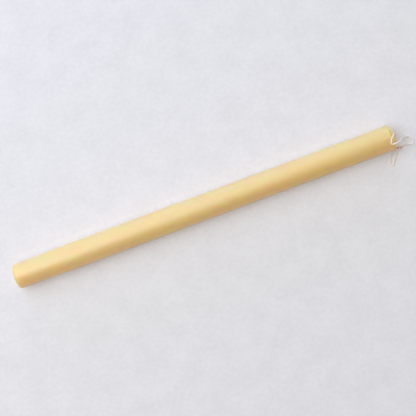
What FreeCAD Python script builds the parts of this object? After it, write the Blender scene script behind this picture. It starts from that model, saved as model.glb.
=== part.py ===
import FreeCAD, Part
import math
import os

import Sketcher

# A moulded beeswax taper candle, lying on its side as it comes to rest.
# X runs along the candle, from the foot at -X to the tip at +X, and +Z is up.
# The origin is on the surface that the candle lies on, under the middle of its length.
# All sizes are in millimetres.

SIZES = {
    # the wax, from its foot to its tip
    "length": (381.0, "foot face to the top of the domed tip"),
    "foot_radius": (11.95, "the straight foot that enters a candlestick"),
    "foot_length": (22.0, "how far the straight foot runs up from the foot face"),
    "foot_round": (3.2, "rounding of the foot's edge"),
    "flare_length": (32.0, "stretch over which the foot widens to the full girth"),
    "body_radius": (12.45, "fullest radius, just above the flare"),
    "tip_radius": (12.15, "radius where the tip's shoulder begins"),
    "shoulder_round": (5.0, "rounding of the tip's shoulder"),
    "dome_radius": (40.0, "radius of the low dome on the tip"),
    # the wick
    "wick_radius": (0.65, "half the thickness of the braided wick"),
    # the knot that ties the end of the wick's tail to the tail itself
    "knot_radius": (1.8, "half the knot's width"),
    "knot_length": (3.2, "the knot's length along the strands it ties"),
    "knot_chamfer": (0.7, "how much the knot narrows at each of its ends"),
}

# The free tail of the wick, chosen point by point: out of the tip, up its face, over the shoulder
# to a kink on top of the wax, back off the end and down, then a wide loop and a narrow one on the surface.
TAIL_ROUTE = [
    (190.5, 0.0, 12.45),
    (192.1, 0.0, 12.45),
    (192.7, 0.3, 13.9),
    (192.6, 0.9, 16.3),
    (192.3, 1.6, 19.2),
    (191.2, 2.2, 22.2),
    (189.1, 1.9, 24.7),
    (186.7, -0.2, 25.7),
    (184.9, -2.7, 25.5),
    (184.0, -4.5, 24.9),
    (183.9, -5.9, 24.5),
    (185.0, -6.7, 24.2),
    (186.9, -6.8, 24.2),
    (189.3, -6.7, 24.2),
    (191.8, -6.5, 22.3),
    (193.4, -6.0, 19.0),
    (194.8, -5.4, 15.2),
    (196.1, -4.9, 11.2),
    (197.5, -4.4, 7.4),
    (199.4, -4.0, 3.9),
    (202.0, -3.8, 1.5),
    (205.0, -4.4, 0.7),
    (207.2, -6.9, 0.7),
    (208.3, -10.2, 0.7),
    (206.6, -13.0, 0.7),
    (203.6, -12.0, 0.7),
    (200.5, -10.9, 0.7),
    (197.4, -10.7, 0.8),
    (194.6, -11.5, 1.1),
    (191.7, -12.8, 1.0),
    (188.5, -13.4, 0.7),
    (185.3, -14.5, 0.7),
    (182.5, -16.8, 0.7),
    (180.5, -19.6, 0.7),
    (179.7, -22.1, 0.7),
    (179.9, -24.0, 0.7),
    (180.8, -25.3, 0.7),
    (182.1, -25.3, 0.7),
    (183.2, -23.9, 0.7),
    (184.7, -21.6, 0.7),
    (186.7, -19.0, 0.7),
    (188.6, -16.5, 0.8),
    (190.1, -14.7, 1.5),
    (191.5, -13.4, 2.5),
    (193.3, -12.2, 2.7),
]
KNOT_PLACE = (193.3, -12.1)
KNOT_TURN = 24.0  # degrees from X to the strands that run through the knot
ARC_SHARE = 0.45  # share of the shorter run that an arc's tangent length takes
STRAND_SIDES = 8  # the wick's solid has flat sides, which keep so thin a strand light
VOLUME_TOLERANCE = 0.01

# How the sketch of the wax's outline numbers its pieces
FOOT_FACE, FOOT_EDGE, FOOT_WALL, FLARE, STEM, SHOULDER, DOME, CHANNEL = range(8)
# How every sketch numbers a piece's points, and the axis that runs through its origin along the candle
START, END, CENTRE = range(1, 4)
AXIS_INDEX = -1
ORIGIN_POINT = (AXIS_INDEX, START)


def make_sizes(doc):
    """The sheet of driving sizes: name, value and what it measures, a row each."""
    sheet = doc.addObject("Spreadsheet::Sheet", "sizes")
    for row, (name, (value, meaning)) in enumerate(SIZES.items(), start=1):
        sheet.set(f"A{row}", name)
        sheet.set(f"B{row}", str(value))
        sheet.set(f"C{row}", meaning)
        sheet.setAlias(f"B{row}", name)
    doc.recompute()
    return sheet


def origin_plane(body, role):
    """The body's own origin plane with this role."""
    return next(item for item in body.Origin.OriginFeatures if item.Role == role)


def name_size(sketch, constraint, name, formula):
    """Add a size to the sketch under a name and bind it to the sheet."""
    index = sketch.addConstraint(constraint)
    sketch.renameConstraint(index, name)
    sketch.setExpression(f"Constraints.{name}", formula)


def draw_wax_outline(sketch, size):
    """Half the wax's lengthwise section, above its axis, near its final shape before it is constrained."""
    half = size.length / 2
    flare_start = size.foot_length - half
    flare_end = flare_start + size.flare_length
    dome_centre = half - size.dome_radius
    edge_centre = size.foot_radius - size.foot_round
    shoulder_height = size.tip_radius - size.shoulder_round
    reach = size.dome_radius - size.shoulder_round
    shoulder_centre = dome_centre + math.sqrt(reach**2 - shoulder_height**2)
    lean = math.asin(shoulder_height / reach)
    mouth = math.asin(size.wick_radius / size.dome_radius)
    mouth_x = dome_centre + size.dome_radius * math.cos(mouth)

    def spot(x, y):
        return FreeCAD.Vector(x, y, 0)

    def line(x1, y1, x2, y2):
        sketch.addGeometry(Part.LineSegment(spot(x1, y1), spot(x2, y2)), False)

    def arc(x, y, radius, first, last):
        circle = Part.Circle(spot(x, y), FreeCAD.Vector(0, 0, 1), radius)
        sketch.addGeometry(Part.ArcOfCircle(circle, first, last), False)

    quarter = math.pi / 2
    line(-half, size.wick_radius, -half, edge_centre)
    arc(size.foot_round - half, edge_centre, size.foot_round, quarter, 2 * quarter)
    line(size.foot_round - half, size.foot_radius, flare_start, size.foot_radius)
    line(flare_start, size.foot_radius, flare_end, size.body_radius)
    line(flare_end, size.body_radius, shoulder_centre, size.tip_radius)
    arc(shoulder_centre, shoulder_height, size.shoulder_round, lean, quarter)
    arc(dome_centre, 0, size.dome_radius, mouth, lean)
    line(mouth_x, size.wick_radius, -half, size.wick_radius)


def constrain_wax_outline(sketch):
    """Join the outline's pieces end to end and tie every size to the sheet."""
    link = Sketcher.Constraint
    sketch.addConstraint(
        [
            link("Vertical", FOOT_FACE),
            link("Tangent", FOOT_FACE, END, FOOT_EDGE, END),
            link("Tangent", FOOT_EDGE, START, FOOT_WALL, START),
            link("Horizontal", FOOT_WALL),
            link("Coincident", FOOT_WALL, END, FLARE, START),
            link("Coincident", FLARE, END, STEM, START),
            link("Tangent", STEM, END, SHOULDER, END),
            link("Tangent", SHOULDER, START, DOME, END),
            link("PointOnObject", DOME, CENTRE, AXIS_INDEX),
            link("Coincident", DOME, START, CHANNEL, START),
            link("Horizontal", CHANNEL),
            link("Coincident", CHANNEL, END, FOOT_FACE, START),
        ]
    )
    # A distance is measured from the sketch's origin, so it is the point's own place along or off the axis.
    places = [
        ("DistanceX", FOOT_FACE, START, "foot_face", "-sizes.length / 2"),
        ("DistanceX", FOOT_WALL, END, "flare_start", "sizes.foot_length - sizes.length / 2"),
        ("DistanceX", FLARE, END, "flare_end", "sizes.foot_length + sizes.flare_length - sizes.length / 2"),
        ("DistanceX", DOME, CENTRE, "dome_centre", "sizes.length / 2 - sizes.dome_radius"),
        ("DistanceY", FOOT_WALL, END, "foot_radius", "sizes.foot_radius"),
        ("DistanceY", FLARE, END, "body_radius", "sizes.body_radius"),
        ("DistanceY", STEM, END, "tip_radius", "sizes.tip_radius"),
        ("DistanceY", CHANNEL, END, "channel_radius", "sizes.wick_radius"),
    ]
    for kind, piece, point, name, formula in places:
        spot = getattr(sketch.getPoint(piece, point), kind[-1].lower())
        name_size(sketch, link(kind, *ORIGIN_POINT, piece, point, spot), name, formula)
    for piece, name in ((FOOT_EDGE, "foot_round"), (SHOULDER, "shoulder_round"), (DOME, "dome_radius")):
        radius = sketch.Geometry[piece].Radius
        name_size(sketch, link("Radius", piece, radius), name, f"sizes.{name}")


def make_wax_body(doc, size):
    """The wax, cast in one piece round the wick: its section turned about the candle's axis."""
    body = doc.addObject("PartDesign::Body", "wax_body")
    body.Label = "wax_body"
    sketch = body.newObject("Sketcher::SketchObject", "wax_outline")
    sketch.AttachmentSupport = [(origin_plane(body, "XZ_Plane"), "")]
    sketch.MapMode = "FlatFace"
    draw_wax_outline(sketch, size)
    constrain_wax_outline(sketch)
    turned = body.newObject("PartDesign::Revolution", "turned_wax")
    turned.Profile = sketch
    turned.ReferenceAxis = (sketch, ["H_Axis"])
    turned.Angle = 360
    body.setExpression("Placement.Base.z", "sizes.body_radius")
    return body


def make_wick_core(doc):
    """The wick's straight stretch inside the wax, cut flush with the foot."""
    core = doc.addObject("Part::Cylinder", "wick_core")
    core.Label = "wick_core"
    core.Placement.Rotation = FreeCAD.Rotation(FreeCAD.Vector(0, 1, 0), 90)
    core.setExpression("Radius", "sizes.wick_radius")
    core.setExpression("Height", "sizes.length")
    core.setExpression("Placement.Base.x", "-sizes.length / 2")
    core.setExpression("Placement.Base.z", "sizes.body_radius")
    return core


def rounded_path(points):
    """Straight runs joined by tangent arcs, each arc as large as its two runs allow, with the arcs' radii."""
    edges = []
    radii = []
    last = points[0]
    for before, corner, after in zip(points, points[1:], points[2:]):
        to_before = before - corner
        to_after = after - corner
        tangent = ARC_SHARE * min(to_before.Length, to_after.Length)
        half_turn = (math.pi - to_before.getAngle(to_after)) / 2
        radius = tangent / math.tan(half_turn)
        to_before.normalize()
        to_after.normalize()
        middle = (to_before + to_after).normalize()
        arc_start = corner + to_before * tangent
        arc_middle = corner + middle * (radius / math.cos(half_turn) - radius)
        arc_end = corner + to_after * tangent
        edges.append(Part.LineSegment(last, arc_start).toShape())
        edges.append(Part.Arc(arc_start, arc_middle, arc_end).toShape())
        radii.append(radius)
        last = arc_end
    edges.append(Part.LineSegment(last, points[-1]).toShape())
    return Part.Wire(edges), radii


def strand_section(centre, along, radius):
    """The wick's section: an even polygon round a point, square to the direction it runs in."""
    facing = FreeCAD.Rotation(FreeCAD.Vector(0, 0, 1), along)
    step = 2 * math.pi / STRAND_SIDES
    corners = []
    for side in range(STRAND_SIDES + 1):
        angle = (side % STRAND_SIDES + 0.5) * step
        corner = FreeCAD.Vector(math.cos(angle), math.sin(angle), 0) * radius
        corners.append(centre + facing.multVec(corner))
    return Part.makePolygon(corners)


def make_wick_tail(doc, size):
    """The wick's free tail, a plain strand carried along its route."""
    points = [FreeCAD.Vector(*point) for point in TAIL_ROUTE]
    path, radii = rounded_path(points)
    section = strand_section(points[0], points[1] - points[0], size.wick_radius)
    tube = path.makePipeShell([section], True, False)
    tail = doc.addObject("Part::Feature", "wick_tail")
    tail.Label = "wick_tail"
    tail.Shape = tube
    expected = Part.Face(section).Area * path.Length
    print(f"wick tail: {path.Length:.1f} mm long, arc radii", [round(radius, 1) for radius in radii])
    if abs(tube.Volume - expected) > VOLUME_TOLERANCE * expected:
        raise SystemExit(f"wick_tail holds {tube.Volume:.2f} mm3, not its section times its length")
    return tail


def draw_knot_outline(sketch, size):
    """Half the knot's lengthwise section: a barrel with chamfered ends, closed along its axis."""
    link = Sketcher.Constraint
    half = size.knot_length / 2
    waist = half - size.knot_chamfer
    end_radius = size.knot_radius - size.knot_chamfer
    corners = [
        (-half, 0),
        (-half, end_radius),
        (-waist, size.knot_radius),
        (waist, size.knot_radius),
        (half, end_radius),
        (half, 0),
    ]
    spots = [FreeCAD.Vector(x, y, 0) for x, y in corners]
    for here, there in zip(spots, spots[1:] + spots[:1]):
        sketch.addGeometry(Part.LineSegment(here, there), False)
    near_end, near_cone, barrel, far_cone, far_end, axis = range(6)
    pieces = (near_end, near_cone, barrel, far_cone, far_end, axis)
    for here, there in zip(pieces, pieces[1:] + pieces[:1]):
        sketch.addConstraint(link("Coincident", here, END, there, START))
    for upright in (near_end, far_end):
        sketch.addConstraint(link("Vertical", upright))
    for level in (barrel, axis):
        sketch.addConstraint(link("Horizontal", level))
    sketch.addConstraint(link("PointOnObject", axis, END, AXIS_INDEX))
    sketch.addConstraint(link("Equal", near_cone, far_cone))
    chamfer = size.knot_chamfer
    sizes = [
        ("DistanceX", ORIGIN_POINT, (far_end, END), half, "half_length", "sizes.knot_length / 2"),
        ("DistanceX", (axis, END), (axis, START), size.knot_length, "whole_length", "sizes.knot_length"),
        ("DistanceX", (near_end, END), (near_cone, END), chamfer, "chamfer_run", "sizes.knot_chamfer"),
        ("DistanceY", (near_end, END), (near_cone, END), chamfer, "chamfer_rise", "sizes.knot_chamfer"),
        ("DistanceY", ORIGIN_POINT, (barrel, START), size.knot_radius, "knot_radius", "sizes.knot_radius"),
    ]
    for kind, here, there, value, name, formula in sizes:
        name_size(sketch, link(kind, *here, *there, value), name, formula)


def make_wick_knot(doc, size, tail):
    """The wax-soaked knot that ties the tail's end to itself, shaped round the strands inside it."""
    barrel = doc.addObject("PartDesign::Body", "knot_barrel")
    sketch = barrel.newObject("Sketcher::SketchObject", "knot_outline")
    sketch.AttachmentSupport = [(origin_plane(barrel, "XZ_Plane"), "")]
    sketch.MapMode = "FlatFace"
    draw_knot_outline(sketch, size)
    turned = barrel.newObject("PartDesign::Revolution", "turned_knot")
    turned.Profile = sketch
    turned.ReferenceAxis = (sketch, ["H_Axis"])
    turned.Angle = 360
    barrel.Placement.Base = FreeCAD.Vector(*KNOT_PLACE, 0)
    barrel.Placement.Rotation = FreeCAD.Rotation(FreeCAD.Vector(0, 0, 1), KNOT_TURN)
    barrel.setExpression("Placement.Base.z", "sizes.knot_radius")
    knot = doc.addObject("Part::Cut", "wick_knot")
    knot.Label = "wick_knot"
    knot.Base = barrel
    knot.Tool = tail
    return knot


def check_built(doc, parts):
    """Stop at anything that failed to build, before a file is written."""
    for item in doc.Objects:
        if "Invalid" in item.State or "Error" in item.State:
            raise SystemExit(f"{item.Label} failed: {item.State}")
    for part in parts:
        if part.Shape.isNull() or not part.Shape.isValid() or len(part.Shape.Solids) != 1:
            raise SystemExit(f"{part.Label} is not one valid solid")


def check_wax_volume(body, size):
    """The wax holds less than a plain rod of its greatest girth and more than one of its least."""
    channel = size.wick_radius**2
    most = math.pi * size.length * (size.body_radius**2 - channel)
    least = math.pi * size.length * (size.foot_radius**2 - channel) - math.pi * size.tip_radius**3
    print(f"wax: {body.Shape.Volume / 1000:.1f} cm3, between {least / 1000:.1f} and {most / 1000:.1f}")
    if not min(least, most) < body.Shape.Volume < max(least, most):
        raise SystemExit("wax_body does not hold what its outline should")


def main():
    os.makedirs("parts", exist_ok=True)
    doc = FreeCAD.newDocument("taper_candle")
    size = make_sizes(doc)
    wax = make_wax_body(doc, size)
    core = make_wick_core(doc)
    tail = make_wick_tail(doc, size)
    knot = make_wick_knot(doc, size, tail)
    doc.recompute()
    parts = [wax, core, tail, knot]
    check_built(doc, parts)
    check_wax_volume(wax, size)
    for part in parts:
        part.Shape.exportStep(f"parts/{part.Label}.step")
        box = part.Shape.BoundBox
        print(f"{part.Label}: x {box.XMin:.2f} to {box.XMax:.2f}, y {box.YMin:.2f} to {box.YMax:.2f}, "
              f"z {box.ZMin:.2f} to {box.ZMax:.2f}, volume {part.Shape.Volume:.2f}")


main()
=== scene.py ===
# %% [markdown]
# A beeswax taper candle, seen from straight above.
# The real object is one length of cast wax with a braided cotton wick through it. The wick comes out
# of the tip, lies over the shoulder and ends in a knot beside the candle.
# This lesson dresses the measured solids: first the camera, then the wick, the knot and the wax, then
# their finishes, and last the table and the light.

# %% Load the measured model
import itertools
import math

import bmesh
import bpy
import numpy as np
from mathutils import Euler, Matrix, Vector


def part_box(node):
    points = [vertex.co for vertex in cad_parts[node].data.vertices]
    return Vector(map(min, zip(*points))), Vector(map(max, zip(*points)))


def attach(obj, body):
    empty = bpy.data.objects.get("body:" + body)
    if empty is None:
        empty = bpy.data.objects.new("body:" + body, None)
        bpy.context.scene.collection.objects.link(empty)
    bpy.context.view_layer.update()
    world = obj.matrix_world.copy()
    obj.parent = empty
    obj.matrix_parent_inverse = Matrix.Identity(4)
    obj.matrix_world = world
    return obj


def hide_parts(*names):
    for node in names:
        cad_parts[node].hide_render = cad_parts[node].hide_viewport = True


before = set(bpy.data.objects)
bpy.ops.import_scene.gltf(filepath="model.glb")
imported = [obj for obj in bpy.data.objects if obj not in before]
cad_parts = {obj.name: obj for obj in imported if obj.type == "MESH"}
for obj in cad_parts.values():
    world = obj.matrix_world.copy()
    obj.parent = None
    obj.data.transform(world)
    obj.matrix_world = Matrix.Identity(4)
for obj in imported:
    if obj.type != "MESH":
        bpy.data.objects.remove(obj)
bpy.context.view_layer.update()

MM = 0.001
scene = bpy.context.scene
root = "root"
core_low, core_high = (np.array(corner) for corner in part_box("wick_core"))
HALF_LENGTH = core_high[0]
AXIS_HEIGHT = float(core_low[2] + core_high[2]) / 2

# %% [markdown]
# The camera looks straight down on the table, as a photographer's camera on a copy stand does.
# It could be made orthographic, but a real lens also shows a little of the candle's two ends, so this
# one has a long lens at a real height. It is turned about its own line of sight, because the candle
# lies aslant in the picture.

# %% Camera above the table
CAMERA_HEIGHT = 1.15
CAMERA_PLACE = (2.35 * MM, -2.2 * MM, CAMERA_HEIGHT)
CANDLE_SLANT = math.radians(20.42)  # how far the candle rises to the right in the picture
LENS_MM = 104.36

camera_data = bpy.data.cameras.new("copy_stand_camera")
camera_data.lens = LENS_MM
camera_data.clip_start = 0.05
camera_data.clip_end = 20.0
camera = bpy.data.objects.new("copy_stand_camera", camera_data)
camera.location = CAMERA_PLACE
camera.rotation_euler = Euler((0.0, 0.0, -CANDLE_SLANT))
scene.collection.objects.link(camera)
scene.camera = camera
PICTURE_RIGHT = np.array([math.cos(CANDLE_SLANT), -math.sin(CANDLE_SLANT), 0.0])
PICTURE_UP = np.array([math.sin(CANDLE_SLANT), math.cos(CANDLE_SLANT), 0.0])
print("camera", [round(value, 4) for value in camera.location], "lens", LENS_MM)

# %% [markdown]
# The free end of the wick is a cord of a known length, so its route comes before its shape.
# The points below are listed in order: out of the tip, up the end of the wax, over the shoulder to a
# sharp kink, back off the end, down to the table, once round a wide loop, under the knot, round a
# narrow loop and back into the knot. A smooth spline with these points as its control points is the
# line that the cord follows.

# %% Route of the free wick
WICK_ROUTE_MM = [
    (190.5, 0.0, 12.45),
    (191.4, 0.0, 12.5),
    (191.5, 0.3, 13.9),
    (191.2, 0.8, 16.3),
    (190.9, 1.3, 19.2),
    (190.3, 1.7, 22.3),
    (188.8, 1.6, 24.9),
    (186.7, -0.2, 26.0),
    (184.9, -2.7, 25.8),
    (184.0, -4.5, 25.2),
    (183.9, -5.9, 24.8),
    (185.0, -6.7, 24.5),
    (186.9, -6.8, 24.5),
    (189.3, -6.7, 24.4),
    (191.8, -6.5, 22.4),
    (193.4, -6.0, 19.0),
    (194.8, -5.4, 15.2),
    (196.1, -4.9, 11.2),
    (197.5, -4.4, 7.4),
    (199.4, -4.0, 3.9),
    (202.0, -3.8, 1.6),
    (205.0, -4.4, 0.85),
    (207.2, -6.9, 0.85),
    (208.3, -10.2, 0.85),
    (206.6, -13.0, 0.85),
    (203.6, -12.0, 0.85),
    (200.5, -10.9, 0.85),
    (197.4, -10.7, 0.9),
    (194.6, -11.5, 1.1),
    (191.7, -12.8, 1.0),
    (188.5, -13.4, 0.85),
    (185.3, -14.5, 0.85),
    (182.5, -16.8, 0.85),
    (180.5, -19.6, 0.85),
    (179.7, -22.1, 0.85),
    (179.9, -24.0, 0.85),
    (180.8, -25.3, 0.85),
    (182.1, -25.3, 0.85),
    (183.2, -23.9, 0.85),
    (184.7, -21.6, 0.85),
    (186.7, -19.0, 0.85),
    (188.6, -16.5, 0.95),
    (190.1, -14.7, 1.5),
    (191.5, -13.4, 2.5),
    (193.3, -12.2, 2.7),
]
ROUTE_STEPS = 24  # points that the spline gives between two control points


def spline_line(name, route_mm):
    """Points of the smooth line along a given route: a quadratic NURBS spline whose control points
    are the route's points and which starts and ends in its end points."""
    curve = bpy.data.curves.new(name, "CURVE")
    curve.dimensions = "3D"
    curve.resolution_u = ROUTE_STEPS
    spline = curve.splines.new("NURBS")
    spline.points.add(len(route_mm) - 1)
    for point, place in zip(spline.points, route_mm):
        point.co = (*(value * MM for value in place), 1.0)
    spline.order_u = 3
    spline.use_endpoint_u = True
    holder = bpy.data.objects.new(name, curve)
    scene.collection.objects.link(holder)
    bpy.context.view_layer.update()
    line_mesh = bpy.data.meshes.new_from_object(holder)
    line = np.empty(len(line_mesh.vertices) * 3)
    line_mesh.vertices.foreach_get("co", line)
    bpy.data.objects.remove(holder)
    bpy.data.meshes.remove(line_mesh)
    bpy.data.curves.remove(curve)
    return line.reshape(-1, 3)


def distance_along(line):
    """The length walked from the line's start to each of its points."""
    steps = np.linalg.norm(np.diff(line, axis=0), axis=1)
    return np.concatenate([[0.0], np.cumsum(steps)])


wick_line = spline_line("wick_route", WICK_ROUTE_MM)

# %% [markdown]
# The wick is built round this line, so each of its points needs a frame: one direction along the line
# and two across it. Directions taken from the line's own bends would flip over wherever it starts to
# bend the other way. The smallest turn from each step's direction to the next, applied one after
# another, gives frames that never spin about the line.

# %% Frames along a line
CHECK_SPACING = 0.5 * MM


def even_points(line, spacing):
    """The line again with its points at about the same spacing, and how far along it each one lies."""
    walked = distance_along(line)
    count = max(2, int(round(walked[-1] / spacing)) + 1)
    even = np.linspace(0.0, walked[-1], count)
    return np.stack([np.interp(even, walked, line[:, axis]) for axis in range(3)], axis=1), even


def smallest_turns(before, after):
    """Rotation matrices that carry each unit vector of before onto its partner in after by the shortest
    turn: one plus the cross product's matrix K, plus K squared over one plus the cosine."""
    axis = np.cross(before, after)
    cosine = np.einsum("ij,ij->i", before, after)
    cross = np.zeros((len(axis), 3, 3))
    cross[:, 0, 1], cross[:, 0, 2] = -axis[:, 2], axis[:, 1]
    cross[:, 1, 0], cross[:, 1, 2] = axis[:, 2], -axis[:, 0]
    cross[:, 2, 0], cross[:, 2, 1] = -axis[:, 1], axis[:, 0]
    return np.eye(3) + cross + cross @ cross / (1.0 + cosine)[:, None, None]


def line_frames(line):
    """Unit tangent, side and top directions at each point, without twist from point to point."""
    tangent = np.gradient(line, axis=0)
    tangent /= np.linalg.norm(tangent, axis=1, keepdims=True)
    helper = np.eye(3)[np.argmin(np.abs(tangent[0]))]
    first_side = np.cross(tangent[0], helper)
    first_side /= np.linalg.norm(first_side)
    turns = smallest_turns(tangent[:-1], tangent[1:])
    carried = itertools.accumulate(turns, lambda held, turn: turn @ held, initial=first_side)
    side = np.array(list(carried))
    top = np.cross(tangent, side)
    return tangent, side, top


tangents, sides, _ = line_frames(even_points(wick_line, CHECK_SPACING)[0])
slant = np.abs(np.einsum("ij,ij->i", tangents, sides)).max()
print(f"frames stay square to the line within {slant:.1e}")

# %% [markdown]
# Yarns, knot and wax are surfaces of one kind: rings of points, one after another. They could be
# modelled by hand, but joining the rings by a rule gives clean four-cornered faces that all look
# outwards, and the same two functions serve every piece.

# %% Meshes from grids of points
def grid_faces(rows, columns, close_columns):
    """Four-cornered faces of a grid of points, stored row by row, whose last column may meet its first."""
    row = np.arange(rows - 1)[:, None] * columns
    column = np.arange(columns if close_columns else columns - 1)[None, :]
    following = (column + 1) % columns
    corners = [row + column, row + following, row + columns + following, row + columns + column]
    return np.stack([corner.ravel() for corner in np.broadcast_arrays(*corners)], axis=1)


def new_piece(name, places, faces, patterns=None):
    """A smooth-shaded mesh object from arrays; patterns maps an attribute's name to a value per point."""
    mesh = bpy.data.meshes.new(name)
    mesh.from_pydata(places, [], faces)
    mesh.polygons.foreach_set("use_smooth", np.ones(len(mesh.polygons), dtype=bool))
    for label, values in (patterns or {}).items():
        attribute = mesh.attributes.new(label, "FLOAT", "POINT")
        attribute.data.foreach_set("value", np.asarray(values, dtype=np.float32).ravel())
    mesh.update()
    piece = bpy.data.objects.new(name, mesh)
    scene.collection.objects.link(piece)
    return piece


print("a 3 by 4 tube grid has", len(grid_faces(3, 4, True)), "faces")

# %% [markdown]
# A candle wick is plaited from cotton yarns. It could be a plain tube with a bump pattern, but a plait
# shows in its outline too. So each yarn is a ribbon of its own, wound round the route's line: half
# of the yarns turn one way, half the other way, and each goes over one and under the next.
# Inside them runs one straight, round yarn, so that no light comes through between the ribbons.

# %% Yarns of the plait
YARNS_EACH_WAY = 3
YARN_SIDES = 10
YARN_HALF_WIDTH = 0.44 * MM
YARN_HALF_THICKNESS = 0.18 * MM
YARN_RING = 0.51 * MM  # distance of the yarns from the middle of the wick
YARN_LIFT = 0.08 * MM  # how far a yarn rises over the one it crosses, and dips under the next
PLAIT_PITCH = 7.4 * MM  # length in which a yarn goes once round
CORE_YARN_RADIUS = 0.43 * MM


def yarn_surface(line, walked, frames, start_angle, direction):
    """One flattened yarn of the plait. Its middle circles the line once every pitch, at the ring's
    radius plus a lift that is up at one crossing and down at the next; its section is an ellipse, wide
    along the ring and thin across it, and it narrows to a point at both ends."""
    _, side, top = frames
    turn = 2 * math.pi * walked / PLAIT_PITCH
    angle = start_angle + direction * turn
    lift = direction * YARN_LIFT * np.cos(YARNS_EACH_WAY * turn)
    outward = np.cos(angle)[:, None] * side + np.sin(angle)[:, None] * top
    middle = line + (YARN_RING + lift)[:, None] * outward
    along = np.gradient(middle, axis=0)
    along /= np.linalg.norm(along, axis=1, keepdims=True)
    across = np.cross(outward, along)
    across /= np.linalg.norm(across, axis=1, keepdims=True)
    upright = np.cross(along, across)
    around = 2 * math.pi * np.arange(YARN_SIDES) / YARN_SIDES
    places = (
        middle[:, None, :]
        + YARN_HALF_WIDTH * np.cos(around)[None, :, None] * across[:, None, :]
        + YARN_HALF_THICKNESS * np.sin(around)[None, :, None] * upright[:, None, :]
    )
    places[0] = middle[0]
    places[-1] = middle[-1]
    return places


def core_surface(line, frames):
    """The straight yarn inside the plait: at each point of the line, a circle square to the line, which
    shrinks to a point at both ends."""
    _, side, top = frames
    around = -2 * math.pi * np.arange(YARN_SIDES)[None, :, None] / YARN_SIDES
    circle = np.cos(around) * side[:, None, :] + np.sin(around) * top[:, None, :]
    places = line[:, None, :] + CORE_YARN_RADIUS * circle
    places[0] = line[0]
    places[-1] = line[-1]
    return places


print("the plait has", 2 * YARNS_EACH_WAY, "wound yarns and a straight one")

# %% [markdown]
# All yarns together are one cord, so they become one mesh. Each point also keeps where it lies on its
# own yarn: how far along, how far round, and on which. A finish that reads these stays with the yarn
# through every bend, as dye or twist does on a real one.

# %% The braided wick
STATION_SPACING = 0.17 * MM
MERGE_DISTANCE = 0.001 * MM


def close_ends(piece):
    """Merge the points that meet at each yarn's ends, and turn all faces outwards."""
    shell = bmesh.new()
    shell.from_mesh(piece.data)
    bmesh.ops.remove_doubles(shell, verts=shell.verts, dist=MERGE_DISTANCE)
    bmesh.ops.recalc_face_normals(shell, faces=shell.faces)
    shell.to_mesh(piece.data)
    shell.free()


def plaited_cord(name, line):
    """All the yarns of a plait along a line, as one mesh with each yarn's own lengthwise and round
    coordinates kept in attributes for its finish."""
    even, walked = even_points(line, STATION_SPACING)
    frames = line_frames(even)
    surfaces = [core_surface(even, frames)]
    for direction in (1, -1):
        for yarn in range(YARNS_EACH_WAY):
            start_angle = 2 * math.pi * yarn / YARNS_EACH_WAY
            surfaces.append(yarn_surface(even, walked, frames, start_angle, direction))
    stations = len(even)
    one_yarn = grid_faces(stations, YARN_SIDES, True)
    shifts = np.arange(len(surfaces))[:, None, None] * stations * YARN_SIDES
    faces = (one_yarn[None] + shifts).reshape(-1, 4)
    places = np.concatenate([surface.reshape(-1, 3) for surface in surfaces])
    patterns = {
        "yarn_length": np.tile(np.repeat(walked / MM, YARN_SIDES), len(surfaces)),
        "yarn_round": np.tile(np.arange(YARN_SIDES) / YARN_SIDES, stations * len(surfaces)),
        "yarn_number": np.repeat(np.arange(len(surfaces)) / len(surfaces), stations * YARN_SIDES),
    }
    piece = new_piece(name, places, faces, patterns)
    close_ends(piece)
    return piece


braided_wick = plaited_cord("braided_wick", wick_line)
print("braided_wick:", len(braided_wick.data.polygons), "faces")

# %% [markdown]
# The knot ties the wick's end to the wick. It could be a lump of wax, but a real knot this small reads
# as one strand wound round the others. So it is the same plait again, along a short winding line: two
# and a half turns whose radius shrinks at both ends, where the strand dives under itself.

# %% The knot
KNOT_CENTRE = np.array([193.3, -12.1, 1.95]) * MM
KNOT_HEADING = math.radians(-4.0)
KNOT_TURNS = 2.4
KNOT_RADIUS = 0.80 * MM
KNOT_HALF_LENGTH = 1.75 * MM
KNOT_EVENNESS = 0.35  # power of the half sine: the smaller, the more even the knot's girth
KNOT_END_SHARE = 0.2  # radius of the winding at its ends, as a share of the knot's
KNOT_POINTS = 140


def knot_line():
    """A winding line: it goes round the strands' direction at a steady rate while it moves along it, and
    its radius follows a half sine that is flattened in the middle, so both ends dive to the axis."""
    share = np.linspace(0.0, 1.0, KNOT_POINTS)
    angle = 2 * math.pi * KNOT_TURNS * share
    radius = KNOT_RADIUS * np.sin(math.pi * share) ** KNOT_EVENNESS
    radius[[0, -1]] = KNOT_END_SHARE * KNOT_RADIUS
    along = np.array([math.cos(KNOT_HEADING), math.sin(KNOT_HEADING), 0.0])
    across = np.array([-along[1], along[0], 0.0])
    upright = np.array([0.0, 0.0, 1.0])
    drift = KNOT_HALF_LENGTH * np.sin(math.pi * (share - 0.5))
    return (
        KNOT_CENTRE
        + drift[:, None] * along
        + (radius * np.cos(angle))[:, None] * across
        + (radius * np.sin(angle))[:, None] * upright
    )


tied_knot = plaited_cord("tied_knot", knot_line())
print("tied_knot:", len(tied_knot.data.polygons), "faces")

# %% [markdown]
# The wax was poured into a tube and drawn out cold. It could be a cylinder with bevelled ends, but its
# foot is straight and a little thinner, its body narrows very slightly and its tip is a low dome. A
# profile spun round the axis, as on a lathe, holds all of that in one list of rings.

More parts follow.
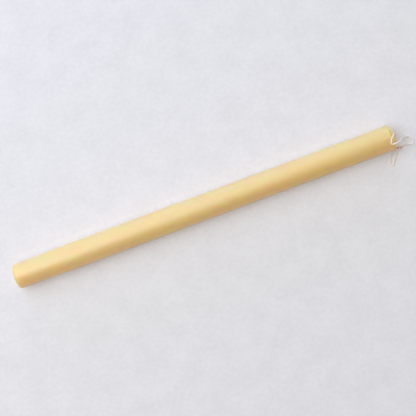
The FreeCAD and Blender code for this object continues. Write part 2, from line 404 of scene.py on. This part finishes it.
# %% The wax profile
FOOT_RADIUS = 11.95 * MM
FOOT_LENGTH = 22.0 * MM
FOOT_ROUND = 3.2 * MM
WALL_GAP = 0.4 * MM  # from the end of the foot's rounded edge to the first ring of its wall
FLARE_LENGTH = 32.0 * MM
BODY_RADIUS = AXIS_HEIGHT
TIP_RADIUS = 12.3 * MM
SHOULDER_ROUND = 4.5 * MM
DOME_RADIUS = 40.0 * MM
CHANNEL_RADIUS = 0.66 * MM
RINGS = {
    "face": 10,
    "edge": 14,
    "wall": 18,
    "flare": 30,
    "body": 260,
    "shoulder": 20,
    "dome": 26,
    "channel": 30,
}


def arc_points(centre_x, centre_r, radius, first, last, count):
    """Points on a circle's arc between two angles, measured from the direction of the tip."""
    angles = np.linspace(first, last, count)
    return np.stack([centre_x + radius * np.cos(angles), centre_r + radius * np.sin(angles)], axis=1)


def straight_points(start, end, count):
    """Evenly spaced points from start towards end, without the end itself."""
    share = np.linspace(0.0, 1.0, count, endpoint=False)[:, None]
    return np.array(start) * (1 - share) + np.array(end) * share


def wax_profile():
    """Distance along the axis and radius of each ring, from the channel's mouth in the foot, out over
    the foot's face and edge, along the candle, over the shoulder and dome and into the channel."""
    foot = -HALF_LENGTH
    edge_x = foot + FOOT_ROUND
    edge_r = FOOT_RADIUS - FOOT_ROUND
    flare_x = foot + FOOT_LENGTH
    full_x = flare_x + FLARE_LENGTH
    dome_x = HALF_LENGTH - DOME_RADIUS
    reach = DOME_RADIUS - SHOULDER_ROUND
    rise = TIP_RADIUS - SHOULDER_ROUND
    shoulder_x = dome_x + math.sqrt(reach**2 - rise**2)
    lean = math.asin(rise / reach)
    mouth = math.asin(CHANNEL_RADIUS / DOME_RADIUS)
    parts = [
        straight_points((foot, CHANNEL_RADIUS), (foot, edge_r), RINGS["face"]),
        arc_points(edge_x, edge_r, FOOT_ROUND, math.pi, math.pi / 2, RINGS["edge"]),
        straight_points((edge_x + WALL_GAP, FOOT_RADIUS), (flare_x, FOOT_RADIUS), RINGS["wall"]),
        straight_points((flare_x, FOOT_RADIUS), (full_x, BODY_RADIUS), RINGS["flare"]),
        straight_points((full_x, BODY_RADIUS), (shoulder_x, TIP_RADIUS), RINGS["body"]),
        arc_points(shoulder_x, rise, SHOULDER_ROUND, math.pi / 2, lean, RINGS["shoulder"]),
        arc_points(dome_x, 0.0, DOME_RADIUS, lean, mouth, RINGS["dome"])[1:],
    ]
    outside = np.concatenate(parts)
    last_x = outside[-1, 0]
    channel = straight_points((last_x, CHANNEL_RADIUS), (foot, CHANNEL_RADIUS), RINGS["channel"])[1:]
    return np.concatenate([outside, channel])


profile = wax_profile()
print("wax profile:", len(profile), "rings, fullest radius", round(profile[:, 1].max() / MM, 2), "mm")

# %% [markdown]
# Cast wax is never quite true: it shrinks a little unevenly along its length and round it. A bump in
# the finish would leave the outline straight, so the rings themselves change. Slow waves and a shallow
# waist take up to a quarter of a millimetre off the radius and never add any, so that the candle still
# lies on the table. At the tip, a small collar of wax clings to the wick where it comes out.

# %% The uneven cast surface
RINGWISE_POINTS = 176
UNEVEN_DEPTH = 0.10 * MM
WAIST_DEPTH = 0.16 * MM
WAIST_PLACE = 78 * MM
WAIST_SPREAD = 62 * MM
SMOOTH_END = 16 * MM  # the unevenness grows to its full depth over this length from each end
END_UNEVENNESS = 0.35  # share of that depth at the very ends
COLLAR_HEIGHT = 0.45 * MM
COLLAR_SPREAD = 0.55 * MM
WAVE_COUNT = 9
WAVES_PER_METRE = (4.0, 34.0)
WAVES_ROUND = 4  # a wave goes round the candle fewer times than this
LENGTH_DAMPING = 0.05  # the shorter a wave, the lower it is
ROUND_DAMPING = 0.3
random_source = np.random.default_rng(7)


def slow_waves(lengthwise, angle):
    """A sum of slow waves along and round the candle, scaled to lie between nought and one."""
    total = np.zeros(np.broadcast(lengthwise, angle).shape)
    for _ in range(WAVE_COUNT):
        along_rate = random_source.uniform(*WAVES_PER_METRE)
        turns = random_source.integers(0, WAVES_ROUND)
        start = random_source.uniform(0.0, 2 * math.pi, size=2)
        size = 1.0 / (1.0 + LENGTH_DAMPING * along_rate + ROUND_DAMPING * turns)
        along_wave = np.cos(2 * math.pi * along_rate * lengthwise + start[0])
        total += size * along_wave * np.cos(turns * angle + start[1])
    low, high = total.min(), total.max()
    return (total - low) / (high - low)


def spin_profile(rings):
    """Each ring's points at even angles round the axis. The outer wall loses the slow waves and the
    shallow waist; the dome gains a collar that rises towards the wick as a bell curve."""
    angle = 2 * math.pi * np.arange(RINGWISE_POINTS)[None, :] / RINGWISE_POINTS
    x = rings[:, :1]
    radius = rings[:, 1:]
    outer_share = np.clip((radius - CHANNEL_RADIUS) / (FOOT_RADIUS - CHANNEL_RADIUS), 0.0, 1.0)
    end_share = np.clip((HALF_LENGTH - np.abs(x)) / SMOOTH_END, 0.0, 1.0)
    eased = end_share * end_share * (3 - 2 * end_share)
    fade = outer_share**2 * (END_UNEVENNESS + (1 - END_UNEVENNESS) * eased)
    waist = WAIST_DEPTH * np.exp(-(((x - WAIST_PLACE) / WAIST_SPREAD) ** 2))
    uneven = radius - fade * (UNEVEN_DEPTH * slow_waves(x, angle) + waist)
    collar = COLLAR_HEIGHT * np.exp(-(((radius - CHANNEL_RADIUS) / COLLAR_SPREAD) ** 2))
    lifted = np.broadcast_to(x + np.where(x > 0, collar, 0.0), uneven.shape)
    spot = [lifted, -uneven * np.sin(angle), AXIS_HEIGHT + uneven * np.cos(angle)]
    return np.stack(spot, axis=2)


wax_places = spin_profile(profile)
wax_faces = grid_faces(len(profile), RINGWISE_POINTS, True)
last_ring = (len(profile) - 1) * RINGWISE_POINTS
column = np.arange(RINGWISE_POINTS)
following = (column + 1) % RINGWISE_POINTS
seam = np.stack([last_ring + column, last_ring + following, following, column], axis=1)
moulded_wax = new_piece("moulded_wax", wax_places.reshape(-1, 3), np.concatenate([wax_faces, seam]))
lowest = wax_places[..., 2].min()
print("moulded_wax:", len(moulded_wax.data.polygons), "faces, lowest point", round(lowest / MM, 3), "mm")

# %% [markdown]
# Finishes are built from shader nodes: they follow the surface at any distance and need no picture.
# Typed out node by node they would be long, so a few helpers add a node with its settings, do
# arithmetic, blend colours and set the shader's own sockets.

# %% Node helpers
def is_socket(value):
    return isinstance(value, bpy.types.NodeSocket)


def feed(tree, plug, value):
    """Give an input a link to a socket, or a plain value."""
    if is_socket(value):
        tree.links.new(value, plug)
    else:
        plug.default_value = value


def add_node(tree, kind, settings=None, **inputs):
    """Add a node, set its properties, and feed each named input."""
    made = tree.nodes.new(kind)
    for label, value in (settings or {}).items():
        setattr(made, label, value)
    for label, value in inputs.items():
        feed(tree, made.inputs[label.replace("_", " ")], value)
    return made


def calculate(tree, operation, *values):
    """The result of a Math node on sockets or numbers."""
    made = add_node(tree, "ShaderNodeMath", {"operation": operation})
    for plug, value in zip(made.inputs, values):
        feed(tree, plug, value)
    return made.outputs["Value"]


def blend_colours(tree, share, first, second):
    """A mix of two colours by a share; each may be a socket or a value."""
    made = add_node(tree, "ShaderNodeMix", {"data_type": "RGBA"})
    plugs = {plug.identifier: plug for plug in made.inputs}
    for label, value in (("Factor_Float", share), ("A_Color", first), ("B_Color", second)):
        feed(tree, plugs[label], value)
    return next(plug for plug in made.outputs if plug.identifier == "Result_Color")


def new_material(name):
    """An empty material with its output and the Principled shader that feeds it."""
    material = bpy.data.materials.new(name)
    material.use_nodes = True
    tree = material.node_tree
    tree.nodes.clear()
    output = tree.nodes.new("ShaderNodeOutputMaterial")
    shader = tree.nodes.new("ShaderNodeBsdfPrincipled")
    tree.links.new(shader.outputs["BSDF"], output.inputs["Surface"])
    return material, tree, shader


def set_shader(shader, **values):
    """Set constant values straight on the shader's own sockets."""
    for label, value in values.items():
        shader.inputs[label.replace("_", " ")].default_value = value


def add_bump(tree, shader, height, strength, distance):
    """Tilt the shader's normal by a height that a socket gives."""
    bump = add_node(tree, "ShaderNodeBump", Height=height, Strength=strength, Distance=distance)
    tree.links.new(bump.outputs["Normal"], shader.inputs["Normal"])


print("node helpers are ready")

# %% [markdown]
# A patchy variation is wanted in the wax, the cotton and the table, each at its own scale. It could be
# built anew in every material, but one node group with named inputs and outputs is easier to follow
# and to change. It gives only values; the shader itself stays in each material.

# %% The patchy group
def patchy_group():
    """Two noises on object coordinates, one broad and one fine, added with named weights. It puts out
    a mask between nought and one and a height for a bump."""
    group = bpy.data.node_groups.new("patchy_surface", "ShaderNodeTree")
    group.interface.new_socket("Vector", in_out="INPUT", socket_type="NodeSocketVector")
    usual = {"Broad Scale": 40.0, "Fine Scale": 900.0, "Fine Share": 0.3, "Contrast": 1.6}
    for label, value in usual.items():
        plug = group.interface.new_socket(label, in_out="INPUT", socket_type="NodeSocketFloat")
        plug.default_value = value
    for label in ("Mask", "Height"):
        group.interface.new_socket(label, in_out="OUTPUT", socket_type="NodeSocketFloat")
    given = group.nodes.new("NodeGroupInput").outputs
    end = group.nodes.new("NodeGroupOutput")
    broad = add_node(group, "ShaderNodeTexNoise", Vector=given["Vector"], Scale=given["Broad Scale"],
                     Detail=3.0, Roughness=0.55)
    fine = add_node(group, "ShaderNodeTexNoise", Vector=given["Vector"], Scale=given["Fine Scale"],
                    Detail=2.0, Roughness=0.5)
    fine_centred = calculate(group, "SUBTRACT", fine.outputs["Fac"], 0.5)
    fine_part = calculate(group, "MULTIPLY", fine_centred, given["Fine Share"])
    height = calculate(group, "ADD", broad.outputs["Fac"], fine_part)
    centred = calculate(group, "SUBTRACT", height, 0.5)
    stretched = calculate(group, "MULTIPLY", centred, given["Contrast"])
    mask = add_node(group, "ShaderNodeClamp", Value=calculate(group, "ADD", stretched, 0.5))
    group.links.new(mask.outputs["Result"], end.inputs["Mask"])
    group.links.new(height, end.inputs["Height"])
    return group


PATCHY = patchy_group()


def patchy(tree, stretch=(1.0, 1.0, 1.0), **inputs):
    """Outputs of the patchy group on this piece's object coordinates, stretched along its axes."""
    place = add_node(tree, "ShaderNodeTexCoord").outputs["Object"]
    mapping = add_node(tree, "ShaderNodeMapping", Vector=place, Scale=stretch)
    inputs["Vector"] = mapping.outputs["Vector"]
    return add_node(tree, "ShaderNodeGroup", {"node_tree": PATCHY}, **inputs).outputs


print("group", PATCHY.name, "has", len(PATCHY.nodes), "nodes")

# %% [markdown]
# Beeswax is translucent. Red light travels centimetres through it, green some millimetres and blue
# hardly at all, and that is why the lit side looks like cream and the shaded side like amber. A colour
# painted darker on one side would be wrong from any other angle. Subsurface scattering with its own
# reach for each colour gives the same look from the light itself. Over it lies the dull film that
# beeswax grows with time, milky where the light strikes it, and a rough coat does the same.

# %% Beeswax
WAX_PALE = (1.0, 0.625, 0.235, 1.0)
WAX_DEEP = (0.99, 0.595, 0.205, 1.0)
SCATTER_REACH = 42 * MM
SCATTER_SHARES = (1.0, 0.19, 0.009)  # share of that reach for red, green and blue
ROUGH_PATCH, SMOOTH_PATCH = 0.46, 0.38


def beeswax_material():
    """Translucent wax with faint clouds drawn out along the candle and a soft, slightly uneven gloss."""
    material, tree, shader = new_material("beeswax")
    clouds = patchy(tree, stretch=(0.35, 1.0, 1.0), Broad_Scale=90.0, Fine_Scale=1400.0, Fine_Share=0.25)
    colour = blend_colours(tree, clouds["Mask"], WAX_DEEP, WAX_PALE)
    tree.links.new(colour, shader.inputs["Base Color"])
    gloss = add_node(tree, "ShaderNodeMapRange", Value=clouds["Mask"], To_Min=ROUGH_PATCH,
                     To_Max=SMOOTH_PATCH)
    tree.links.new(gloss.outputs["Result"], shader.inputs["Roughness"])
    add_bump(tree, shader, clouds["Height"], 0.25, 0.06 * MM)
    shader.subsurface_method = "RANDOM_WALK"
    set_shader(shader, IOR=1.44, Subsurface_Weight=1.0, Subsurface_Scale=SCATTER_REACH,
               Subsurface_Radius=SCATTER_SHARES)
    set_shader(shader, Coat_Weight=1.0, Coat_Roughness=0.55, Coat_IOR=2.0)
    return material


moulded_wax.data.materials.append(beeswax_material())
print("beeswax is on", moulded_wax.name)

# %% [markdown]
# Each yarn of the wick is spun from finer plies. Their slanting ridges follow the yarn's own lengthwise
# and round coordinates, which the mesh carries as attributes, so they turn with the yarn.

# %% The ply group
def ply_group():
    """Slanting ridges round a yarn: the sine of the round coordinate times the number of plies plus the
    lengthwise one times the twist, lifted to lie between nought and one. Its tone is the yarn's number,
    a different one on each yarn."""
    group = bpy.data.node_groups.new("yarn_plies", "ShaderNodeTree")
    for label, value in (("Plies", 3.0), ("Twist per mm", 0.9)):
        plug = group.interface.new_socket(label, in_out="INPUT", socket_type="NodeSocketFloat")
        plug.default_value = value
    for label in ("Ridge", "Tone"):
        group.interface.new_socket(label, in_out="OUTPUT", socket_type="NodeSocketFloat")
    given = group.nodes.new("NodeGroupInput").outputs
    end = group.nodes.new("NodeGroupOutput")
    lengthwise, roundwise, number = (
        add_node(group, "ShaderNodeAttribute", {"attribute_name": label}).outputs["Fac"]
        for label in ("yarn_length", "yarn_round", "yarn_number")
    )
    round_part = calculate(group, "MULTIPLY", roundwise, given["Plies"])
    length_part = calculate(group, "MULTIPLY", lengthwise, given["Twist per mm"])
    turns = calculate(group, "ADD", round_part, length_part)
    wave = calculate(group, "SINE", calculate(group, "MULTIPLY", turns, 2 * math.pi))
    ridge = calculate(group, "MULTIPLY_ADD", wave, 0.5, 0.5)
    group.links.new(ridge, end.inputs["Ridge"])
    group.links.new(number, end.inputs["Tone"])
    return group


PLIES = ply_group()
print("group", PLIES.name, "has", len(PLIES.nodes), "nodes")

# %% [markdown]
# Clean cotton is pale and matt with a little sheen, and it goes brown where wax has soaked in, most of
# all in the knot, whose end beside the candle is painted darker still as painted shade. Light scattered
# inside yarns this thin would only darken them, so the colour does the work: a blend of deep and pale,
# by the yarn's own tone, by patches, and by painted shade that is deeper between the ridges of its plies.

# %% Wick and knot
COTTON_PALE = (1.0, 0.97, 0.91, 1.0)
COTTON_DEEP = (0.99, 0.87, 0.76, 1.0)
SOAKED_PALE = (0.98, 0.68, 0.42, 1.0)
SOAKED_DEEP = (0.50, 0.30, 0.18, 1.0)
# painted shade: the knot is painted darkest at its end beside the candle, on top of its wax stain
SOAK_AND_SHADE_SPAN = (191.6 * MM, 193.8 * MM)  # the knot is darkest at its end beside the wax
SOAK_AND_SHADE_GAIN = 1.6  # what the blend is raised by where the wax stain and the painted shade end
TONE_WEIGHT = 0.45
PATCH_WEIGHT = 0.35
RIDGE_SHADE_WEIGHT = 0.25


def cotton_material(name, pale, deep, roughness, sheen, soak_and_shade_span=None):
    """Plied cotton: paler on the ridges and deeper between them as painted shade, and deeper in patches
    where wax soaked in. A soak_and_shade_span gives two distances along the candle between which it goes
    from deep to pale: a wax stain with painted shade at the end beside the candle."""
    material, tree, shader = new_material(name)
    plies = add_node(tree, "ShaderNodeGroup", {"node_tree": PLIES}).outputs
    soak = patchy(tree, Broad_Scale=350.0, Fine_Scale=4000.0, Fine_Share=0.5, Contrast=2.0)
    patches = calculate(tree, "MULTIPLY", soak["Mask"], PATCH_WEIGHT)
    toned = calculate(tree, "MULTIPLY_ADD", plies["Tone"], TONE_WEIGHT, patches)
    # painted shade: the blend is paler on the ply ridges and deeper in the grooves between them
    share = calculate(tree, "MULTIPLY_ADD", plies["Ridge"], RIDGE_SHADE_WEIGHT, toned)
    if soak_and_shade_span:
        place = add_node(tree, "ShaderNodeTexCoord").outputs["Object"]
        along = add_node(tree, "ShaderNodeSeparateXYZ", Vector=place).outputs["X"]
        # painted shade: deep at the knot's end beside the candle and pale away from it, over the wax stain
        soak_and_shade_fade = add_node(tree, "ShaderNodeMapRange", Value=along, From_Min=soak_and_shade_span[0],
                         From_Max=soak_and_shade_span[1]).outputs["Result"]
        share = calculate(tree, "MULTIPLY", share, calculate(tree, "MULTIPLY", soak_and_shade_fade, SOAK_AND_SHADE_GAIN))
    tree.links.new(blend_colours(tree, share, deep, pale), shader.inputs["Base Color"])
    add_bump(tree, shader, plies["Ridge"], 0.5, 0.04 * MM)
    set_shader(shader, Roughness=roughness, Sheen_Weight=sheen)
    return material


wick_cotton = cotton_material("wick_cotton", COTTON_PALE, COTTON_DEEP, roughness=0.7, sheen=0.25)
soaked_cotton = cotton_material("soaked_cotton", SOAKED_PALE, SOAKED_DEEP, roughness=0.5, sheen=0.0,
                                soak_and_shade_span=SOAK_AND_SHADE_SPAN)
braided_wick.data.materials.append(wick_cotton)
tied_knot.data.materials.append(soaked_cotton)
print("cotton is on", braided_wick.name, "and", tied_knot.name)

# %% [markdown]
# The measured core of the wick stays as it is. Only its cut end shows, in the middle of the foot, as a
# dot of fibre ends pressed flat in wax, so its finish is a fine grain on object coordinates.

# %% The cut end of the wick
def cut_wick_material():
    """Fibre ends in wax: fine dots of pale cotton in a darker, soaked ground."""
    material, tree, shader = new_material("cut_wick")
    dots = patchy(tree, Broad_Scale=2600.0, Fine_Scale=7000.0, Fine_Share=0.6, Contrast=3.0)
    colour = blend_colours(tree, dots["Mask"], SOAKED_PALE, COTTON_DEEP)
    tree.links.new(colour, shader.inputs["Base Color"])
    add_bump(tree, shader, dots["Height"], 0.4, 0.05 * MM)
    set_shader(shader, Roughness=0.6)
    return material


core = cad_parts["wick_core"]
core.data.materials.clear()
core.data.materials.append(cut_wick_material())
print("finish on", core.name)

# %% [markdown]
# The candle lies on a pale, plain surface with the faint unevenness of trowelled plaster. It could be a
# white shadow catcher, but a real surface shows that unevenness and throws some light back under the
# candle. For the camera alone, a share of it glows evenly, which keeps the shadow as soft as it is in a
# bright room. That share grows with distance, until the far table runs into the backdrop.

# %% Table
TABLE_HALF = 4.0
TABLE_PALE = (0.83, 0.83, 0.84, 1.0)
TABLE_DEEP = (0.77, 0.77, 0.78, 1.0)
TABLE_GLOW = 0.21  # share of even glow near the candle
GLOW_STARTS = 0.40  # m from the middle: from here that share grows
GLOW_FULL = 1.20  # m from the middle: from here on the table is as pale and even as the backdrop


def table_material():
    """Faintly uneven plaster with an even glow of its own colour, mixed in for camera rays by a share
    that rises with the distance from the middle."""
    material, tree, shader = new_material("pale_plaster")
    trowelled = patchy(tree, Broad_Scale=45.0, Fine_Scale=260.0, Fine_Share=0.9, Contrast=1.8)
    colour = blend_colours(tree, trowelled["Mask"], TABLE_DEEP, TABLE_PALE)
    tree.links.new(colour, shader.inputs["Base Color"])
    add_bump(tree, shader, trowelled["Height"], 0.25, 0.4 * MM)
    set_shader(shader, Roughness=0.85, Specular_IOR_Level=0.3)
    glow = add_node(tree, "ShaderNodeEmission", Color=colour, Strength=1.0)
    place = add_node(tree, "ShaderNodeTexCoord").outputs["Object"]
    away = add_node(tree, "ShaderNodeVectorMath", {"operation": "LENGTH"}, Vector=place).outputs["Value"]
    glow_share = add_node(tree, "ShaderNodeMapRange", {"interpolation_type": "SMOOTHSTEP"}, Value=away,
                          From_Min=GLOW_STARTS, From_Max=GLOW_FULL, To_Min=TABLE_GLOW, To_Max=1.0)
    seen = add_node(tree, "ShaderNodeLightPath").outputs["Is Camera Ray"]
    share = calculate(tree, "MULTIPLY", seen, glow_share.outputs["Result"])
    choice = add_node(tree, "ShaderNodeMixShader", Fac=share)
    tree.links.new(shader.outputs["BSDF"], choice.inputs[1])
    tree.links.new(glow.outputs["Emission"], choice.inputs[2])
    output = next(made for made in tree.nodes if made.type == "OUTPUT_MATERIAL")
    tree.links.new(choice.outputs["Shader"], output.inputs["Surface"])
    return material


corners = TABLE_HALF * np.array([(-1, -1, 0), (1, -1, 0), (1, 1, 0), (-1, 1, 0)], dtype=float)
tabletop = new_piece("tabletop", corners, np.array([[0, 1, 2, 3]]))
tabletop.data.materials.append(table_material())
print("tabletop", 2 * TABLE_HALF, "m wide")

# %% [markdown]
# The light is plain and soft. A sun lamp would give hard edges, so every lamp is a wide rectangle, as a
# window or a diffuser is. A broad panel stands high on the left of the picture, and a low window on
# the left throws the long, faint shadow to the right. Beyond the candle, a cool window and a low strip
# of sky make its far side creamy, and a weak warm lamp past the tip reaches the end and the wick.

# %% Lamps
LAMPS = [
    # name, bearing and elevation in degrees, distance and size in metres, power in watts, colour
    ("overhead_panel", 4.0, 66.0, 1.8, (1.5, 1.5), 24.2, (0.96, 0.985, 1.1)),
    ("low_window", 0.0, 22.0, 1.8, (1.0, 0.8), 4.6, (1.0, 1.0, 1.0)),
    ("side_window", 70.0, 44.0, 2.4, (1.4, 1.0), 8.2, (0.85, 0.98, 1.14)),
    ("sky_strip", 70.0, 13.0, 1.6, (2.0, 0.36), 7.2, (0.60, 0.88, 1.60)),
    ("end_fill", 165.0, 16.0, 1.6, (1.2, 0.5), 3.6, (1.05, 0.98, 0.88)),
]


def softbox(name, bearing, elevation, distance, size, power, colour):
    """A rectangular lamp that shines at the middle of the candle. Its bearing is measured from the
    picture's left towards its top, its elevation from the table."""
    turn, rise = math.radians(bearing), math.radians(elevation)
    level = -math.cos(turn) * PICTURE_RIGHT + math.sin(turn) * PICTURE_UP
    direction = Vector(math.cos(rise) * level + np.array([0.0, 0.0, math.sin(rise)]))
    lamp = bpy.data.lights.new(name, "AREA")
    lamp.shape = "RECTANGLE"
    lamp.size, lamp.size_y = size
    lamp.energy = power
    lamp.color = colour
    holder = bpy.data.objects.new(name, lamp)
    holder.location = distance * direction
    holder.rotation_euler = direction.to_track_quat("Z", "Y").to_euler()
    scene.collection.objects.link(holder)
    print(name, "at", [round(value, 2) for value in holder.location], "m")


for lamp_values in LAMPS:
    softbox(*lamp_values)

# %% [markdown]
# What the lamps leave dark is lit by the room, which is dim and warm, so that the near side of the wax
# turns amber. The camera must not see that dimness past the table, so for its rays alone, the world
# is a pale backdrop.

# %% Room and backdrop
ROOM_COLOUR = (1.0, 0.82, 0.50, 1.0)
ROOM_STRENGTH = 0.19
BACKDROP = (0.80, 0.80, 0.81, 1.0)

world = bpy.data.worlds.new("pale_room")
scene.world = world
world.use_nodes = True
room = world.node_tree
room.nodes.clear()
world_output = add_node(room, "ShaderNodeOutputWorld")
fill = add_node(room, "ShaderNodeBackground", Color=ROOM_COLOUR, Strength=ROOM_STRENGTH)
backdrop = add_node(room, "ShaderNodeBackground", Color=BACKDROP, Strength=1.0)
path = add_node(room, "ShaderNodeLightPath")
seen = calculate(room, "MAXIMUM", path.outputs["Is Camera Ray"], path.outputs["Is Transmission Ray"])
choice = add_node(room, "ShaderNodeMixShader", Fac=seen)
room.links.new(fill.outputs["Background"], choice.inputs[1])
room.links.new(backdrop.outputs["Background"], choice.inputs[2])
room.links.new(choice.outputs["Shader"], world_output.inputs["Surface"])
scene.view_settings.view_transform = "Standard"
print("room strength", ROOM_STRENGTH)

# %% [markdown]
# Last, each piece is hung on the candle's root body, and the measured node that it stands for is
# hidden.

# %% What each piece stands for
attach(moulded_wax, root)
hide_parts("wax_body")

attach(tied_knot, root)
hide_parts("wick_knot")

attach(braided_wick, root)
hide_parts("wick_tail")
print("pieces stand for wax_body, wick_knot and wick_tail; wick_core is shown as it is")
